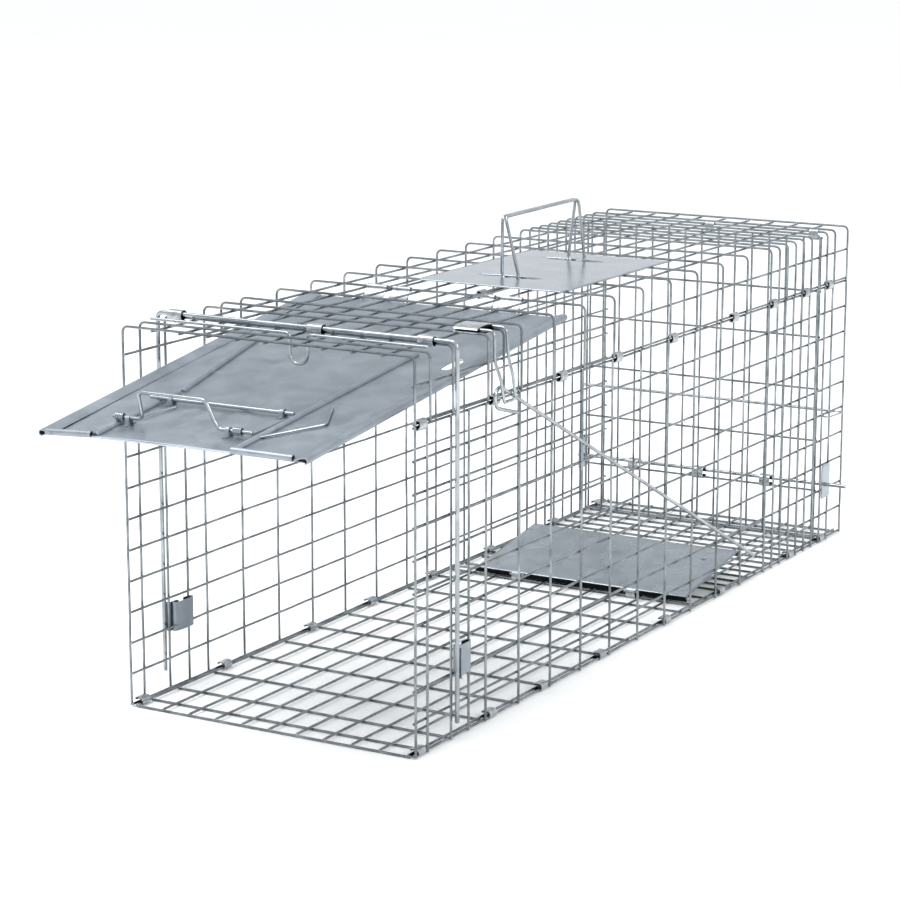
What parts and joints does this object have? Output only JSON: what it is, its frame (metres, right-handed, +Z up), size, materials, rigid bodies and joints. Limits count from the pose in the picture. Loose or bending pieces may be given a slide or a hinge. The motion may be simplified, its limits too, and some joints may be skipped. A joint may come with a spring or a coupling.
{
  "type": "live catch trap",
  "caption": "Folding welded-mesh cage trap, shown set: sloping drop door held up at the open front, sprung latch, trip plate and rod, carrying handle on a guard plate, sheet hinge rings.",
  "frame": {"origin": "on the floor, under the middle of the cage's front edge", "axes": "+X across the cage to its right side seen from the front, +Y from the open front to the rear, +Z up"},
  "size_m": [0.2952, 0.9325, 0.3629],
  "materials": {
    "mesh_wire": "galvanised wire, semi-bright",
    "formed_wire": "bright galvanised rod",
    "sheet": "galvanised sheet, soft mottled",
    "ring_sheet": "galvanised sheet, bent"
  },
  "bodies": {
    "cage": {"dip_rod": "formed_wire", "floor_left_ring_1": "ring_sheet", "floor_left_ring_2": "ring_sheet", "floor_left_ring_3": "ring_sheet", "floor_left_ring_4": "ring_sheet", "floor_left_ring_5": "ring_sheet", "floor_panel": "mesh_wire", "floor_right_ring_1": "ring_sheet", "floor_right_ring_2": "ring_sheet", "floor_right_ring_3": "ring_sheet", "floor_right_ring_4": "ring_sheet", "floor_right_ring_5": "ring_sheet", "frame_catch_left": "sheet", "frame_catch_right": "sheet", "frame_clip_left": "ring_sheet", "frame_clip_middle": "ring_sheet", "frame_clip_right": "ring_sheet", "guard_plate": "sheet", "hang_ring_left": "ring_sheet", "hang_ring_right": "ring_sheet", "left_side_panel": "mesh_wire", "pin_keeper_ring": "formed_wire", "pivot_ring_left": "ring_sheet", "pivot_ring_right": "ring_sheet", "rear_bracket_left": "sheet", "rear_bracket_right": "sheet", "rear_panel": "mesh_wire", "right_side_panel": "mesh_wire", "rod_ring_left": "ring_sheet", "rod_ring_middle": "ring_sheet", "rod_ring_right": "ring_sheet", "top_left_ring_1": "ring_sheet", "top_left_ring_2": "ring_sheet", "top_left_ring_3": "ring_sheet", "top_left_ring_4": "ring_sheet", "top_left_ring_5": "ring_sheet", "top_panel": "mesh_wire", "top_right_ring_1": "ring_sheet", "top_right_ring_2": "ring_sheet", "top_right_ring_3": "ring_sheet", "top_right_ring_4": "ring_sheet", "top_right_ring_5": "ring_sheet", "trigger_sleeve": "ring_sheet", "trigger_stirrup": "formed_wire", "trip_pivot_wire": "formed_wire"},
    "door": {"door_panel": "sheet", "latch_rod": "formed_wire", "latch_spring_left": "formed_wire", "latch_spring_right": "formed_wire", "finger_wire": "formed_wire"},
    "latch_crank": {"latch_crank": "formed_wire"},
    "front_frame": {"front_frame": "formed_wire"},
    "carry_handle": {"carry_handle": "formed_wire"},
    "trip_plate": {"trip_plate": "sheet"},
    "trip_rod": {"trip_rod": "formed_wire"},
    "lock_rod": {"rear_lock_rod": "formed_wire"},
    "lock_pin": {"rear_lock_pin": "formed_wire"}
  },
  "joints": [
    {"name": "door_swing", "type": "hinge", "parent": "cage", "child": "door", "pos_m": [0, 0.265, 0.305], "axis": [1, 0, 0], "range_deg": [0, 41.5]},
    {"name": "crank_turn", "type": "hinge", "parent": "door", "child": "latch_crank", "pos_m": [0, -0.08658, 0.25574], "axis": [1, 0, 0], "range_deg": [-75, 0], "stiffness_Nm_per_rad": 0.02, "springref_deg": 9.74},
    {"name": "frame_swing", "type": "hinge", "parent": "cage", "child": "front_frame", "pos_m": [0, 0.0525, 0.3082], "axis": [1, 0, 0], "range_deg": [-90, 0]},
    {"name": "handle_tilt", "type": "hinge", "parent": "cage", "child": "carry_handle", "pos_m": [0.014, 0.412, 0.301], "axis": [0, 1, 0], "range_deg": [-20, 20]},
    {"name": "plate_tilt", "type": "hinge", "parent": "cage", "child": "trip_plate", "pos_m": [0.0115, 0.49, 0.0064], "axis": [1, 0, 0], "range_deg": [-8, 0]},
    {"name": "trip_rod_turn", "type": "hinge", "parent": "trip_plate", "child": "trip_rod", "pos_m": [0.1356, 0.60062, 0.02392], "axis": [1, 0, 0], "range_deg": [0, 6.63]},
    {"name": "rod_slide", "type": "slide", "parent": "cage", "child": "lock_rod", "axis": [1, 0, 0], "range_m": [0, 0.05]},
    {"name": "pin_slide", "type": "slide", "parent": "cage", "child": "lock_pin", "axis": [-1, 0, 0], "range_m": [0, 0.25]}
  ],
  "couplings": [
    {"joint": "trip_rod_turn", "follows": "plate_tilt", "ratio": -0.822}
  ]
}
